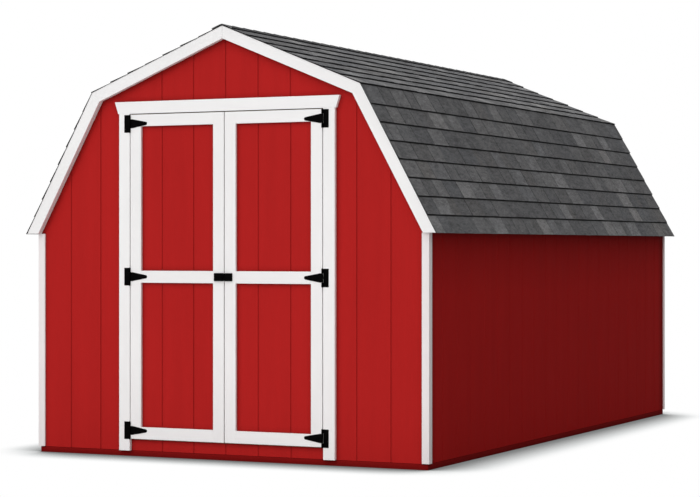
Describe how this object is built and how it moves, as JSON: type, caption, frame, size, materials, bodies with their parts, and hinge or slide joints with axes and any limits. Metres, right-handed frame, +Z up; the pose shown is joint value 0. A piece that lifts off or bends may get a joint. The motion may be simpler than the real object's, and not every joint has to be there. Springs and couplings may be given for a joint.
{
  "type": "gambrel barn",
  "caption": "Small timber gambrel barn with grooved panel siding, white trim, a shingled double-slope roof and outward-opening double doors in the front gable.",
  "frame": {"origin": "on the ground at the centre of the footprint, under the middle of the ridge", "axes": "+X to the right along the front gable, +Y from the front gable to the rear gable, +Z up"},
  "size_m": [2.5868, 4.3688, 2.4276],
  "materials": {
    "red_siding": "grooved panel siding, satin red paint",
    "white_trim": "smooth sawn boards, satin white paint",
    "floor_frame": "sawn lumber, red paint outside",
    "framing_lumber": "bare sawn softwood",
    "plywood": "bare plywood",
    "roof_sheathing": "bare strand board",
    "soffit": "smooth board, red paint",
    "shingles": "laminated asphalt shingles with charcoal mineral granules, matte",
    "black_iron": "black powder coat"
  },
  "bodies": {
    "barn": {"base_strips": "floor_frame", "corner_trims": "white_trim", "door_casings": "white_trim", "door_head_trim": "white_trim", "door_header": "framing_lumber", "door_jack_studs": "framing_lumber", "eave_soffits": "soffit", "end_wall_plates": "framing_lumber", "end_wall_studs": "framing_lumber", "floor_deck": "plywood", "floor_joists": "floor_frame", "floor_rims": "floor_frame", "fly_rafters_lower": "white_trim", "fly_rafters_upper": "white_trim", "front_siding_left": "red_siding", "front_siding_over_door": "red_siding", "front_siding_right": "red_siding", "front_siding_under_door": "red_siding", "hinge_plates": "black_iron", "left_siding": "red_siding", "lower_rafters": "framing_lumber", "rake_boards_lower": "white_trim", "rake_boards_upper": "white_trim", "rear_siding": "red_siding", "ridge_cap": "shingles", "right_siding": "red_siding", "roof_deck_lower": "roof_sheathing", "roof_deck_upper": "roof_sheathing", "shingles_lower": "shingles", "shingles_upper": "shingles", "side_wall_plates": "framing_lumber", "side_wall_studs": "framing_lumber", "truss_gussets": "plywood", "upper_rafters": "framing_lumber"},
    "door_left": {"left_door_back_frame": "framing_lumber", "left_door_hinge_straps": "black_iron", "left_door_panel": "red_siding", "left_door_rails": "white_trim", "left_door_stiles": "white_trim", "latch_bolt": "black_iron"},
    "door_right": {"right_door_back_frame": "framing_lumber", "right_door_hinge_straps": "black_iron", "right_door_panel": "red_siding", "right_door_rails": "white_trim", "right_door_stiles": "white_trim", "latch_keeper": "black_iron"}
  },
  "joints": [
    {"name": "left_door_hinge", "type": "hinge", "parent": "barn", "child": "door_left", "pos_m": [-0.6068, -2.1608, 1], "axis": [0, 0, -1], "range_deg": [0, 170]},
    {"name": "right_door_hinge", "type": "hinge", "parent": "barn", "child": "door_right", "pos_m": [0.6068, -2.1608, 1], "axis": [0, 0, 1], "range_deg": [0, 170]}
  ]
}
